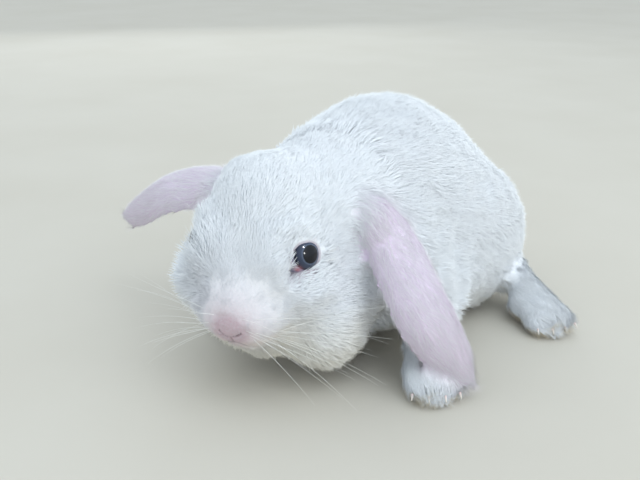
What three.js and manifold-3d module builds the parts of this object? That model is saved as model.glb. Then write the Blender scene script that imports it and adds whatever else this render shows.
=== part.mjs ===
// A young white lop rabbit, life size, crouching with its head low and turned to its left.
// Millimetres, +Z up. The body lies along Y, the rabbit faces -Y and its left side is +X.
// Every size runs out to the tips of the coat.
import * as THREE from 'three';
import Module from 'manifold-3d';

const wasm = await Module();
wasm.setup();

// Driving dimensions.
const gap = 0.3;                      // between two pieces that meet
const weldReach = 0.05;               // corners closer than this are one
const headLength = 68;
const headWidth = 61;
const headHeight = 66;
const headCentre = new THREE.Vector3(0, -85, 52);   // midway between the eyes
const headTurn = 14;                  // degrees to the rabbit's left
const trunkHeight = 92;
const trunkWidth = 90;
const trunkLength = 128;
const trunkMiddle = -3;               // along Y
const eyeRadius = 6.4;
const eyeDepth = -0.2;                // of the globe's front under the tips of the coat
const eyeOpening = 12;                // across, between the lids
const earLength = 86;
const earWidth = 25;                  // along the curl
const earThickness = 4;
const clawLength = 2.4;
const clawRadius = 1;
const clawHeight = 4.2;
const coarseCell = 10.6;              // grid steps of the trunk, the head and the feet
const fineCell = 6.35;
const footCell = 4.9;

const degrees = Math.PI / 180;
const point = (x, y, z) => new THREE.Vector3(x, y, z);

// ---- smooth shapes as distance functions ----

function ellipsoid(centre, radii, turn = [0, 0, 0]) {
  const rotation = new THREE.Matrix4().makeRotationFromEuler(
    new THREE.Euler(...turn.map((angle) => angle * degrees), 'ZYX'));
  const inverse = rotation.clone().invert();
  const local = point(0, 0, 0);
  return (p) => {
    local.copy(p).sub(centre).applyMatrix4(inverse);
    const a = Math.hypot(local.x / radii[0], local.y / radii[1], local.z / radii[2]);
    const b = Math.hypot(local.x / radii[0] ** 2, local.y / radii[1] ** 2, local.z / radii[2] ** 2);
    return b < 1e-9 ? -Math.min(...radii) : a * (a - 1) / b;
  };
}

function taper(from, to, fromRadius, toRadius) {
  const along = to.clone().sub(from);
  const lengthSquared = along.lengthSq();
  const local = point(0, 0, 0);
  return (p) => {
    local.copy(p).sub(from);
    const share = THREE.MathUtils.clamp(local.dot(along) / lengthSquared, 0, 1);
    return local.addScaledVector(along, -share).length()
      - THREE.MathUtils.lerp(fromRadius, toRadius, share);
  };
}

function blend(shapes, softness) {
  return (p) => shapes.reduce((joined, shape) => {
    const next = shape(p);
    const mix = Math.max(softness - Math.abs(joined - next), 0) / softness;
    return Math.min(joined, next) - mix * mix * softness / 4;
  }, 1e3);
}

// ---- a closed mesh of the zero level of a distance function, inside a box ----

function surfaceOf(shape, low, high, cell) {
  const inset = cell * 0.6;           // keeps the outermost grid points outside
  const field = (p) => Math.max(shape(p), low.x + inset - p.x, p.x + inset - high.x,
    low.y + inset - p.y, p.y + inset - high.y, low.z + inset - p.z, p.z + inset - high.z);
  const count = high.clone().sub(low).divideScalar(cell).ceil().addScalar(2);
  const [nx, ny, nz] = count.toArray();
  const at = (i, j, k) => (k * ny + j) * nx + i;
  const place = (i, j, k) => point(low.x + i * cell, low.y + j * cell, low.z + k * cell);
  const values = new Float64Array(nx * ny * nz);
  for (let k = 0; k < nz; k++) {
    for (let j = 0; j < ny; j++) {
      for (let i = 0; i < nx; i++) values[at(i, j, k)] = field(place(i, j, k));
    }
  }
  const corners = [0, 1, 2, 3, 4, 5, 6, 7].map((n) => [n & 1, (n >> 1) & 1, (n >> 2) & 1]);
  const vertexOf = new Map();
  const positions = [];
  for (let k = 0; k < nz - 1; k++) {
    for (let j = 0; j < ny - 1; j++) {
      for (let i = 0; i < nx - 1; i++) {
        const here = corners.map(([a, b, c]) => values[at(i + a, j + b, k + c)]);
        if (here.every((v) => v < 0) || here.every((v) => v >= 0)) continue;
        const middle = crossingMean(corners, here).multiplyScalar(cell).add(place(i, j, k));
        vertexOf.set(at(i, j, k), positions.length / 3);
        positions.push(...settle(field, middle).toArray());
      }
    }
  }
  const faces = [];
  const steps = [[1, 0, 0], [0, 1, 0], [0, 0, 1]];
  for (let k = 0; k < nz - 1; k++) {
    for (let j = 0; j < ny - 1; j++) {
      for (let i = 0; i < nx - 1; i++) {
        steps.forEach((step, axis) => {
          const inside = values[at(i, j, k)] < 0;
          if (inside === values[at(i + step[0], j + step[1], k + step[2])] < 0) return;
          const u = steps[(axis + 1) % 3];
          const v = steps[(axis + 2) % 3];
          const ring = [[0, 0], [1, 0], [1, 1], [0, 1]].map(([a, b]) => vertexOf.get(
            at(i - a * u[0] - b * v[0], j - a * u[1] - b * v[1], k - a * u[2] - b * v[2])));
          if (!inside) ring.reverse();
          faces.push(ring[0], ring[1], ring[2], ring[0], ring[2], ring[3]);
        });
      }
    }
  }
  return solid(positions, faces);
}

// The mean of the places where a cell's edges cross the zero level.
function crossingMean(corners, values) {
  const sum = point(0, 0, 0);
  let crossings = 0;
  for (let a = 0; a < 8; a++) {
    for (const bit of [1, 2, 4]) {
      const b = a | bit;
      if (a === b || (values[a] < 0) === (values[b] < 0)) continue;
      const share = values[a] / (values[a] - values[b]);
      sum.add(point(...corners[a]).lerp(point(...corners[b]), share));
      crossings++;
    }
  }
  return sum.divideScalar(crossings);
}

// Moves a place along the slope of the field until it lies on the zero level.
function settle(field, place) {
  const step = 0.05;
  for (let round = 0; round < 2; round++) {
    const value = field(place);
    const slope = point(...['x', 'y', 'z'].map((axis) => {
      const ahead = place.clone();
      ahead[axis] += step;
      return (field(ahead) - value) / step;
    }));
    place.addScaledVector(slope, -value / Math.max(slope.lengthSq(), 0.2));
  }
  return place;
}

// ---- solids ----

function solid(positions, faces) {
  const made = new wasm.Manifold(new wasm.Mesh({
    numProp: 3, vertProperties: new Float32Array(positions), triVerts: new Uint32Array(faces),
  }));
  if (made.volume() > 0) return made;
  const turned = [];
  for (let i = 0; i < faces.length; i += 3) turned.push(faces[i], faces[i + 2], faces[i + 1]);
  return solid(positions, turned);
}

// Rings of equal length, joined in order and closed by a fan at each end.
function loft(rings) {
  const size = rings[0].length;
  const positions = rings.flat().flatMap((p) => p.toArray());
  const faces = [];
  for (let r = 0; r < rings.length - 1; r++) {
    for (let i = 0; i < size; i++) {
      const a = r * size + i;
      const b = r * size + (i + 1) % size;
      faces.push(a, b, b + size, a, b + size, a + size);
    }
  }
  [rings[0], rings.at(-1)].forEach((ring, end) => {
    const centre = ring.reduce((sum, p) => sum.add(p), point(0, 0, 0)).divideScalar(size);
    const hub = positions.length / 3;
    const first = end * (rings.length - 1) * size;
    positions.push(...centre.toArray());
    for (let i = 0; i < size; i++) {
      const pair = [first + i, first + (i + 1) % size];
      faces.push(hub, ...(end ? pair : pair.reverse()));
    }
  });
  return solid(positions, faces);
}

// Joins the corners that nearly meet, and drops the faces that fall flat.
function welded(positions, faces) {
  const places = [];
  const joined = Array.from({ length: positions.length / 3 }, (_, i) => {
    const corner = point(positions[i * 3], positions[i * 3 + 1], positions[i * 3 + 2]);
    const known = places.findIndex((place) => place.distanceToSquared(corner) < weldReach ** 2);
    return known < 0 ? places.push(corner) - 1 : known;
  });
  const kept = new Map();
  for (let i = 0; i < faces.length; i += 3) {
    const face = [joined[faces[i]], joined[faces[i + 1]], joined[faces[i + 2]]];
    if (new Set(face).size < 3) continue;
    const key = face.toSorted((a, b) => a - b).join();
    if (!kept.delete(key)) kept.set(key, face);   // two faces back to back cancel out
  }
  return solid(places.flatMap((place) => place.toArray()), [...kept.values()].flat());
}

// A three.js geometry as a solid, moved by a matrix.
function shaped(geometry, matrix = new THREE.Matrix4()) {
  const plain = geometry.index ? geometry.toNonIndexed() : geometry;
  const corners = plain.getAttribute('position').clone().applyMatrix4(matrix);
  return welded(corners.array, [...Array(corners.count).keys()]);
}

function ball(centre, radii, grow = 0, matrix = new THREE.Matrix4()) {
  const place = matrix.clone()
    .multiply(new THREE.Matrix4().makeTranslation(centre.x, centre.y, centre.z))
    .multiply(new THREE.Matrix4().makeScale(...radii.map((r) => r + grow)));
  return shaped(new THREE.SphereGeometry(1, 12, 8), place);
}

// Everything on the side of a plane that its normal points to.
function beyond(origin, normal) {
  const size = 500;
  const turn = new THREE.Quaternion().setFromUnitVectors(point(0, 0, 1), normal.clone().normalize());
  const place = new THREE.Matrix4().compose(
    origin.clone().addScaledVector(normal.clone().normalize(), size / 2), turn, point(1, 1, 1));
  return shaped(new THREE.BoxGeometry(size, size, size), place);
}

// Parts a solid at a plane, with the gap between the two.
function part(whole, origin, normal) {
  const unit = normal.clone().normalize();
  return [
    whole.intersect(beyond(origin.clone().addScaledVector(unit, gap / 2), unit)),
    whole.subtract(beyond(origin.clone().addScaledVector(unit, -gap / 2), unit)),
  ];
}

// ---- the head, in its own frame: X to the nose, Y to the left, Z up ----

const headPlace = new THREE.Matrix4().makeTranslation(...headCentre.toArray())
  .multiply(new THREE.Matrix4().makeRotationZ((headTurn - 90) * degrees));
const onHead = (x, y, z) => point(x, y, z).applyMatrix4(headPlace);
const headWay = (x, y, z) => onHead(x, y, z).sub(headCentre).normalize();
const bothSides = (make) => [make(1), make(-1)];
const nameOf = (s) => (s > 0 ? 'left' : 'right');

function headShape() {
  const half = headWidth / 2;
  const shapes = [
    ellipsoid(point(-11, 0, 5), [headLength * 0.37, half * 0.76, headHeight * 0.38]),
    taper(point(-5, 0, 5), point(14, 0, -13), 19, 10.5),
    ellipsoid(point(18.6, 0.4, -20), [6, 6.2, 6]),
    taper(point(0, 0, -28), point(10.5, 0, -26.5), 14, 7.5),
    ...bothSides((s) => ellipsoid(point(11, s * 6, -19.5), [12, 8, 9], [0, 0, s * 12])),
    ...bothSides((s) => ellipsoid(point(-11, s * 13, -18), [21, half - 15, 20])),
    ellipsoid(point(-15, 19.5, -30), [22, 14, 17]),      // the cheek beside the paw lies fuller
    ellipsoid(point(-17, -14, -27), [20, 12, 13]),
    ...bothSides((s) => ellipsoid(point(0, s * 15.5, -2), [11, 7.5, 10])),
    ...bothSides((s) => ellipsoid(point(5, s * 16.5, -11.5), [11, 9.5, 9])),
    ...bothSides((s) => ellipsoid(point(11, s * 11, 0), [9, 8 - s * 0.5, 9])),
    ellipsoid(point(-20, 15, 8), [11, 11, 11]),
    ellipsoid(point(-20, -14, 14), [10, 11, 11]),
  ];
  const joined = blend(shapes, 7);
  const back = headPlace.clone().invert();
  const local = point(0, 0, 0);
  return (p) => joined(local.copy(p).applyMatrix4(back));
}

// The place where a line from inside a shape comes out of it.
function surfaceAlong(shape, from, way) {
  const place = from.clone();
  while (shape(place) < 0) place.addScaledVector(way, 0.1);
  return place;
}

// ---- the trunk with its haunches and shoulders ----

const shoulder = (s) => point(s > 0 ? 27 : -26, -42, 36);
const elbow = (s) => point(s > 0 ? 36 : -33, -28, 20);

function trunkShape() {
  const half = trunkWidth / 2;
  const y = trunkMiddle;
  const shapes = [
    ellipsoid(point(-1, y - 6, trunkHeight - 43), [half - 4, trunkLength * 0.37, 43]),
    ellipsoid(point(-2, y + 8, 37.5), [half - 0.5, trunkLength * 0.325, 37.5]),
    ellipsoid(point(0, y - 34, 38), [31, 30, 34]),
    ellipsoid(point(-1, y - 40, 57), [27, 30, 27]),
    ellipsoid(point(-1, y - 4, 24), [half - 6, 46, 24.5]),
    ellipsoid(point(-2, y + 30, 36), [26, 28, 32]),
    ...bothSides((s) => ellipsoid(point(-2 + s * 32, y + 21, 30), [16.5, 30, 29.5], [0, 0, s * -8])),
    ...bothSides((s) => taper(shoulder(s), elbow(s), 15, 12)),
  ];
  return blend(shapes, 13);
}

// ---- legs ----

// The middle of each of the four toe ends, and the way it points, fanned out a little.
function toesOf({ ankle, toes, width }) {
  const ahead = toes.clone().sub(ankle).setZ(0).normalize();
  return [-1.5, -0.5, 0.5, 1.5].map((n) => {
    const along = ahead.clone().applyAxisAngle(point(0, 0, 1), n * 9 * degrees);
    const end = toes.clone().addScaledVector(point(-ahead.y, ahead.x, 0), n * width / 4)
      .addScaledVector(ahead, 3 - Math.abs(n)).setZ(5);
    return { end, along };
  });
}

// A leg from a joint inside the body to the toes, with a padded foot and rounded toe ends.
function legShape(leg) {
  const { knee, ankle, toes, thick, width } = leg;
  const turn = Math.atan2(toes.y - ankle.y, toes.x - ankle.x) / degrees;
  return blend([
    taper(knee, ankle, thick + 2, thick),
    taper(ankle, toes, thick, 6.5),
    ellipsoid(ankle.clone().lerp(toes, 0.72).setZ(6.6), [12, width / 2 + 1.4, 7.6], [0, 0, turn]),
    ...toesOf(leg).map(({ end }) => ellipsoid(end, [5.6, width / 8 + 1.6, 5.4], [0, 0, turn])),
  ], 4);
}

// A claw: a hooked cone from a toe end, pointing forward and down.
function claw(root, along, length, radius) {
  const rings = [0, 0.5, 1].map((share) => {
    const centre = root.clone().addScaledVector(along, length * share);
    centre.z -= length * 0.45 * share * share;
    const across = point(-along.y, along.x, 0).normalize();
    return [0, 1, 2, 3].map((n) => {
      const angle = n * Math.PI / 2;
      const r = radius * (1 - 0.8 * share);
      return centre.clone().addScaledVector(across, r * Math.cos(angle))
        .add(point(0, 0, r * Math.sin(angle)));
    });
  });
  return loft(rings);
}

// ---- ears ----

// A leaf along a curve, curled away from its outer side. Grown, it makes room for itself.
function ear({ places, outward, bend }, grow) {
  const curve = new THREE.CatmullRomCurve3(places);
  const stretch = earLength / curve.getLength();
  const ringCount = 11;
  const across = 6;
  const rings = [];
  for (let r = 0; r < ringCount; r++) {
    const share = r / (ringCount - 1);
    const centre = curve.getPointAt(Math.min(share * stretch, 1));
    const along = curve.getTangentAt(Math.min(share * stretch, 1));
    const normal = outward.clone().projectOnPlane(along).normalize();
    const side = normal.clone().cross(along).normalize();
    const radius = earWidth * leafWidth(share) / 2 / bend;
    const thick = earThickness * Math.min(1, 0.35 + leafWidth(share));
    const extra = grow / radius;
    const ring = [];
    const put = (angle, rise) => ring.push(centre.clone()
      .addScaledVector(along, grow * (2 * share - 1))
      .addScaledVector(side, (radius + rise) * Math.sin(angle))
      .addScaledVector(normal, (radius + rise) * Math.cos(angle) - radius));
    const over = (n, reach) => (2 * n / across - 1) * (reach + extra);
    for (let n = 0; n <= across; n++) put(over(n, bend), thick / 2 + grow);
    for (let n = across; n >= 0; n--) put(over(n, bend * 0.93), -thick / 2 - grow);
    rings.push(ring);
  }
  return loft(rings);
}

// Half open near the root, widest past the middle, rounded at the tip.
function leafWidth(share) {
  const root = 0.6 + 0.4 * THREE.MathUtils.smoothstep(share, 0, 0.4);
  const tip = share < 0.66 ? 1 : Math.sqrt(Math.max(0, 1 - ((share - 0.66) / 0.345) ** 2));
  return Math.max(root * tip, 0.12);
}

// ---- the whole rabbit ----

const inHead = headShape();
const inTrunk = trunkShape();
const inBody = blend([inHead, inTrunk], 9);
const frontLow = point(-48, -128, -8);
const frontHigh = point(48, -32, 98);
const trunkLow = point(-62, -92, -16);
const trunkHigh = point(64, 72, 104);
const aboveFloor = beyond(point(0, 0, 0), point(0, 0, 1));
const neckBack = point(0, trunkMiddle - 44, 50);
const neckBackWay = point(0, -1, 0.2);

const rabbit = new THREE.Group();

const fur = () => new THREE.MeshStandardMaterial({ color: '#f1f2f5', roughness: 0.9 });
const shadedFur = () => new THREE.MeshStandardMaterial({ color: '#e9e2d2', roughness: 0.9 });
const earSkin = () => new THREE.MeshStandardMaterial({ color: '#e4cfd6', roughness: 0.7 });
const noseSkin = () => new THREE.MeshStandardMaterial({ color: '#e3bfc2', roughness: 0.6 });
const wetEye = () => new THREE.MeshStandardMaterial({ color: '#5a6f8c', roughness: 0.1 });
const horn = () => new THREE.MeshStandardMaterial({ color: '#8f8378', roughness: 0.4 });

function add(name, made, material) {
  const cut = made.getMesh();
  const mesh = welded(cut.vertProperties, cut.triVerts).getMesh();
  const geometry = new THREE.BufferGeometry()
    .setAttribute('position', new THREE.BufferAttribute(new Float32Array(mesh.vertProperties), 3))
    .setIndex(new THREE.BufferAttribute(new Uint32Array(mesh.triVerts), 1));
  const placed = new THREE.Mesh(geometry, material);
  placed.name = name;
  rabbit.add(placed);
}

// The left ear hangs over the upper arm to the paw, and the right one stands out behind the head.
const earCurves = {
  left: {
    places: [
      onHead(-18, 18, 12), onHead(-18, 30, 12), onHead(-20, 40, 2),
      point(54, -61, 30), point(70, -49, -4),
    ],
    outward: point(0.75, -0.55, 0.4),
    bend: 1.3,
  },
  right: {
    places: [onHead(-20, -13, 12), onHead(-24, -28, 13), onHead(-34, -56, 6), onHead(-48, -88, -15)],
    outward: point(0.15, -0.55, 0.8),
    bend: 1.2,
  },
};

const earOf = (name, grow) => ear(earCurves[name], grow);
const earRoom = earOf('left', gap).add(earOf('right', gap));
const bodyRoom = surfaceOf((p) => inBody(p) - gap * 2, trunkLow, trunkHigh, coarseCell);

// The head comes off the neck at a slanted plane, and the neck off the shoulders at another.
function frontPieces() {
  const whole = surfaceOf(inBody, frontLow, frontHigh, fineCell)
    .intersect(aboveFloor)
    .subtract(earRoom);
  const [front] = part(whole, neckBack, neckBackWay);
  return part(front, onHead(-27, 0, 0), headWay(1, 0, 0.25));
}

// Takes one eye's place out of the head and adds the globe.
function withEye(head, s) {
  const look = headWay(0.3, s * 0.9, 0.28);
  const centre = surfaceAlong(inHead, onHead(2, s * 8, -2), look)
    .addScaledVector(look, -eyeDepth - eyeRadius);
  const globe = (grow) => ball(centre, [eyeRadius, eyeRadius, eyeRadius], grow);
  add(`eye_${nameOf(s)}`, globe(0), wetEye());
  const opening = new THREE.CylinderGeometry(eyeOpening / 2 + 2.4, eyeOpening / 2 - 1, 8, 10);
  const turn = new THREE.Quaternion().setFromUnitVectors(point(0, 1, 0), look);
  const place = new THREE.Matrix4().compose(
    centre.clone().addScaledVector(look, eyeRadius), turn, point(1, 1, 1));
  return head.subtract(globe(gap)).subtract(shaped(opening, place));
}

function addHead(socketed) {
  const noseRoom = (grow) => ball(point(22.4, 0.6, -20.8), [4.5, 5, 4.6], grow, headPlace);
  add('nose', socketed.intersect(noseRoom(0)), noseSkin());
  const [aboveMouth, belowMouth] = part(
    socketed.subtract(noseRoom(gap)), onHead(22.4, 0, -28), headWay(0.1, 0, 1));
  add('lower_jaw', belowMouth, shadedFur());
  add('head', aboveMouth, fur());
}

const [headBlock, neck] = frontPieces();
addHead(bothSides((s) => s).reduce(withEye, headBlock));
add('neck', neck, fur());
add('ear_left', earOf('left', 0), earSkin());
add('ear_right', earOf('right', 0), earSkin());

const legs = [
  {
    name: 'forefoot', side: 1, thick: 7.5, width: 18,
    knee: elbow(1), ankle: point(43, -46, 11), toes: point(53, -58, 6),
  },
  {
    name: 'forefoot', side: -1, thick: 7.5, width: 17,
    knee: elbow(-1), ankle: point(-36, -42, 11), toes: point(-39, -56, 6),
  },
  {
    name: 'hindfoot', side: 1, thick: 8.5, width: 19,
    knee: point(24, 26, 26), ankle: point(37, 33, 16), toes: point(65, 14, 7),
  },
  {
    name: 'hindfoot', side: -1, thick: 8.5, width: 19,
    knee: point(-28, 20, 28), ankle: point(-36, 27, 13), toes: point(-43, -6, 7),
  },
];

function addLeg(leg) {
  const shape = legShape(leg);
  const low = leg.knee.clone().min(leg.ankle).min(leg.toes).subScalar(20);
  const high = leg.knee.clone().max(leg.ankle).max(leg.toes).addScalar(20);
  const foot = surfaceOf(shape, low, high, footCell)
    .intersect(aboveFloor)
    .subtract(bodyRoom)
    .subtract(earRoom);
  add(`${leg.name}_${nameOf(leg.side)}`, foot, fur());
  toesOf(leg).forEach(({ end, along }, n) => {
    const root = surfaceAlong(shape, end, along).addScaledVector(along, gap).setZ(clawHeight);
    const name = `claw_${leg.name.replace('foot', '')}_${nameOf(leg.side)}_${n + 1}`;
    add(name, claw(root, along, clawLength, clawRadius), horn());
  });
}

legs.forEach(addLeg);

// Haunches and upper arms come off the trunk in rounded cuts.
function withLimb(trunk, name, centre, radii) {
  add(name, trunk.intersect(ball(centre, radii)), fur());
  return trunk.subtract(ball(centre, radii, gap));
}

function addTrunk() {
  const whole = surfaceOf(inBody, trunkLow, trunkHigh, coarseCell)
    .intersect(aboveFloor)
    .subtract(earRoom);
  let [, trunk] = part(whole, neckBack, neckBackWay);
  for (const s of [1, -1]) {
    const haunch = point(-2 + s * 37, trunkMiddle + 22, 28);
    const upperArm = point(s * 36, trunkMiddle - 30, 28);
    trunk = withLimb(trunk, `haunch_${nameOf(s)}`, haunch, [21, 34, 34]);
    trunk = withLimb(trunk, `shoulder_${nameOf(s)}`, upperArm, [17, 17, 24]);
  }
  const [chest, behind] = part(trunk, point(0, trunkMiddle - 16, 40), point(0, -1, 0.25));
  const [loin, rump] = part(behind, point(0, trunkMiddle + 28, 40), point(0, -1, -0.3));
  add('chest', chest, fur());
  add('loin', loin, fur());
  add('rump', rump, fur());
}

addTrunk();

const tailShape = blend([
  ellipsoid(point(-3, 56, 27), [11, 11, 13]),
  ellipsoid(point(-4, 58, 38), [8.5, 9, 10]),
], 5);
const tail = surfaceOf(tailShape, point(-22, 36, 6), point(18, 78, 58), footCell);
add('tail', tail.subtract(bodyRoom), fur());

// Centred over the floor, with the lowest points at zero.
const box = new THREE.Box3().setFromObject(rabbit);
const middle = box.getCenter(point(0, 0, 0));
rabbit.position.set(-middle.x, -middle.y, -box.min.z);

const group = new THREE.Group();
group.add(rabbit);
export default group;
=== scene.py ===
# A young white lop rabbit, crouching, life size: one skin over the whole body, wet eyes, horn claws
# and a coat of small solid tufts that follows the lie of the hair. Metres, +Z up, facing -Y.
import math
import bmesh
import bpy
import numpy as np
from mathutils import Matrix, Vector
from mathutils.bvhtree import BVHTree


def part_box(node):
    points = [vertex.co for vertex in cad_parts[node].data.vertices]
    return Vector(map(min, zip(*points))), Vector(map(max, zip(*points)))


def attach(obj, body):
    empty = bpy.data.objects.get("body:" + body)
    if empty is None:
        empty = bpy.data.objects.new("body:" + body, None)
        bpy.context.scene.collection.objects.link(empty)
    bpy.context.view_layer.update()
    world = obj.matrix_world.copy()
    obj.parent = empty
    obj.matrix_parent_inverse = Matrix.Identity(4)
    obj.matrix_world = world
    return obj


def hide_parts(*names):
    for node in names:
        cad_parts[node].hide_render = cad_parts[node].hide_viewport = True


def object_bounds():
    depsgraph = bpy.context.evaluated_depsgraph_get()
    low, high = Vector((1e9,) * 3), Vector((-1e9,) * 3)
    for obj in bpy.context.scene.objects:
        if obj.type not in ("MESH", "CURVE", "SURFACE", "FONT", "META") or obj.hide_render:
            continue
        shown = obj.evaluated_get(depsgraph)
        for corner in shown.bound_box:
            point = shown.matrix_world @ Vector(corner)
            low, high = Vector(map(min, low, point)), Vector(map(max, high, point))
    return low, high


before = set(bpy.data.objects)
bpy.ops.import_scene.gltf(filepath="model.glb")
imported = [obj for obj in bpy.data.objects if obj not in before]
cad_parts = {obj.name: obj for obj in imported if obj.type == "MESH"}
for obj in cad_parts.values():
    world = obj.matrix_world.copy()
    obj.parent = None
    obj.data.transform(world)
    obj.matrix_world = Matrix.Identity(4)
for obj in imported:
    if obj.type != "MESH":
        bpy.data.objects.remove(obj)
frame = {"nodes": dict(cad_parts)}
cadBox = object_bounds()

mm = 0.001
rng = np.random.default_rng(11)
scene = bpy.context.scene
up = np.array((0.0, 0.0, 1.0))


def unit(v):
    v = np.asarray(v, float)
    return v / np.maximum(np.linalg.norm(v, axis=-1, keepdims=True), 1e-12)


def smoothstep(x, low, high):
    t = np.clip((x - low) / (high - low), 0, 1)
    return t * t * (3 - 2 * t)


def fade(distance, width):
    return np.exp(-(np.asarray(distance) / width) ** 2)


def middleOf(node):
    low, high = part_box(node)
    return (np.array(low) + np.array(high)) / 2


def distances(places, centre=0):
    return np.linalg.norm(places - centre, axis=1)


def read(items, key, width, kind=float):
    found = np.empty(len(items) * width, kind)
    items.foreach_get(key, found)
    return found.reshape(-1, width)


def smoothShaded(mesh):
    mesh.polygons.foreach_set("use_smooth", np.ones(len(mesh.polygons), bool))


def edited(mesh, change):
    made = bmesh.new()
    made.from_mesh(mesh)
    change(made)
    made.to_mesh(mesh)
    made.free()
    return mesh


def facedOutward(mesh):
    edited(mesh, lambda made: bmesh.ops.recalc_face_normals(made, faces=made.faces))
    smoothShaded(mesh)


# The four-sided faces between rings of the same number of corners.
def bands(start, rings, sides):
    return [[start + (r + i) * sides + (k + j) % sides for i, j in ((0, 0), (1, 0), (1, 1), (0, 1))]
            for r in range(rings) for k in range(sides)]


def linked(name, mesh, material=None):
    made = bpy.data.objects.new(name, mesh)
    scene.collection.objects.link(made)
    if material:
        mesh.materials.append(material)
    return made


def finished(made, slotName, *nodes):
    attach(made, "root")
    if nodes:
        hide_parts(*nodes)
    return made


# The head's own axes, in millimetres: X to the nose, Y to its left, Z up.
eyeSeat = {"start": (2, 8, -2), "way": (0.3, 0.9, 0.28)}  # the line on which each globe sits
eyeCentre = {side: middleOf("eye_" + side) for side in ("left", "right")}
globeRadius = (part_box("eye_left")[1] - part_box("eye_left")[0]).z / 2 / mm
headLeft = unit((eyeCentre["left"] - eyeCentre["right"]) * (1, 1, 0))
headAhead = np.cross(headLeft, up)
eyeApart = np.linalg.norm(eyeCentre["left"] - eyeCentre["right"]) / 2 / mm
eyeRun = (eyeApart - eyeSeat["start"][1]) / eyeSeat["way"][1]
headOrigin = (eyeCentre["left"] + eyeCentre["right"]) / 2 \
    - headAhead * (eyeSeat["start"][0] + eyeSeat["way"][0] * eyeRun) * mm \
    - up * (eyeSeat["start"][2] + eyeSeat["way"][2] * eyeRun) * mm
headAxes = np.stack((headAhead, headLeft, up))


def headWay(x, y, z):
    return unit(np.array((x, y, z)) @ headAxes)


def onHead(x, y, z):
    return headOrigin + np.array((x, y, z)) @ headAxes * mm


def inHead(points):
    return (points - headOrigin) @ headAxes.T / mm


camera = {"turn": 36, "rise": 20, "focalPixels": 850, "depth": 0.275, "eyePixel": (299, 254),
          "frame": (640, 480), "sensor": 36}


def addCamera(turn, rise, focalPixels, depth, eyePixel, frame, sensor):
    a, e = math.radians(turn), math.radians(rise)
    back = np.array((math.sin(a) * math.cos(e), -math.cos(a) * math.cos(e), math.sin(e)))
    right = np.array((math.cos(a), math.sin(a), 0))
    above = np.cross(back, right)
    across = (eyePixel[0] - frame[0] / 2) / focalPixels * depth
    over = (frame[1] / 2 - eyePixel[1]) / focalPixels * depth
    place = eyeCentre["left"] - right * across - above * over + back * depth
    data = bpy.data.cameras.new("camera")
    data.sensor_width = sensor
    data.lens = focalPixels / frame[0] * sensor
    data.clip_start = 0.01
    made = linked("camera", data)
    made.matrix_world = Matrix([[*row, p] for row, p in zip(np.stack((right, above, back), 1), place)]
                               + [[0, 0, 0, 1]])
    scene.camera = made
    return right, above, back


viewRight, viewAbove, viewBack = addCamera(**camera)
print("camera set")


# The skin: every flesh node joined, remeshed and smoothed.
skin = {
    "swell": 0.3,  # closes the thin cuts between the nodes
    "weld": 0.01,
    "cell": 1.15,
    "closeEdge": 0.49,  # longer edges are split round the eyes, nose and mouth
    "closePasses": 3,
    "closePlaces": ((26, 0, -17), (22, 0, -24)),
    "closeReach": (9.5, 9.5, 7.5, 8.0),
    "smoothing": 26,
    "stiffEar": 0.75,  # the thin ears and the feet keep more of their shape
    "stiffFoot": 0.6,
    "lastSmoothing": 4,
    "lastStiffEar": 0.8,
    "blend": 14,  # how softly the regions of the coat meet
}
ownPieces = ("eye_", "claw_")
fleshNodes = sorted(n for n in frame["nodes"] if not n.startswith(ownPieces))


def fleshBlock():
    joined = bmesh.new()
    owners = []
    for node in fleshNodes:
        piece = bmesh.new()
        piece.from_mesh(frame["nodes"][node].data)
        bmesh.ops.remove_doubles(piece, verts=piece.verts, dist=skin["weld"] * mm)
        piece.normal_update()
        for v in piece.verts:
            v.co += v.normal * skin["swell"] * mm
        copy = bpy.data.meshes.new(node)
        piece.to_mesh(copy)
        piece.free()
        owners += [node] * len(copy.polygons)
        joined.from_mesh(copy)
        bpy.data.meshes.remove(copy)
    mesh = bpy.data.meshes.new("flesh")
    joined.to_mesh(mesh)
    joined.free()
    return mesh, owners


def remeshed(mesh, cell):
    block = linked("block", mesh)
    remesh = block.modifiers.new("voxels", "REMESH")
    remesh.mode = "VOXEL"
    remesh.voxel_size = cell * mm
    made = bpy.data.meshes.new_from_object(block.evaluated_get(bpy.context.evaluated_depsgraph_get()))
    bpy.data.objects.remove(block)
    return made


class Sheet:
    # The skin as arrays: places, edges and triangles.
    def __init__(self, mesh):
        self.mesh = mesh
        mesh.calc_loop_triangles()
        self.places = read(mesh.vertices, "co", 3)
        self.edges = read(mesh.edges, "vertices", 2, np.int64)
        self.triangles = read(mesh.loop_triangles, "vertices", 3, np.int64)
        self.loops = read(mesh.loop_triangles, "loops", 3, np.int64)
        self.degree = np.bincount(self.edges.ravel(), minlength=len(self.places))[:, None]

    def gathered(self, index, values):
        columns = [np.bincount(index, values[:, c], len(self.places)) for c in range(values.shape[1])]
        return np.stack(columns, 1)

    def mean(self, values):
        a, b = self.edges.T
        return (self.gathered(a, values[b]) + self.gathered(b, values[a])) / self.degree

    def spread(self, values, times, share=0.5):
        values = values.copy()
        for _ in range(times):
            values += share * (self.mean(values) - values)
        return values

    def normals(self):
        a, b, c = (self.places[self.triangles[:, k]] for k in range(3))
        face = np.cross(b - a, c - a)
        return unit(sum(self.gathered(self.triangles[:, k], face) for k in range(3)))

    def smooth(self, times, amount):
        for _ in range(times):
            for share in (0.5, -0.52):  # the second step gives back what the first shrinks
                self.places += share * amount * (self.mean(self.places) - self.places)

    def write(self):
        self.mesh.vertices.foreach_set("co", self.places.ravel())
        self.mesh.update()


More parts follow.
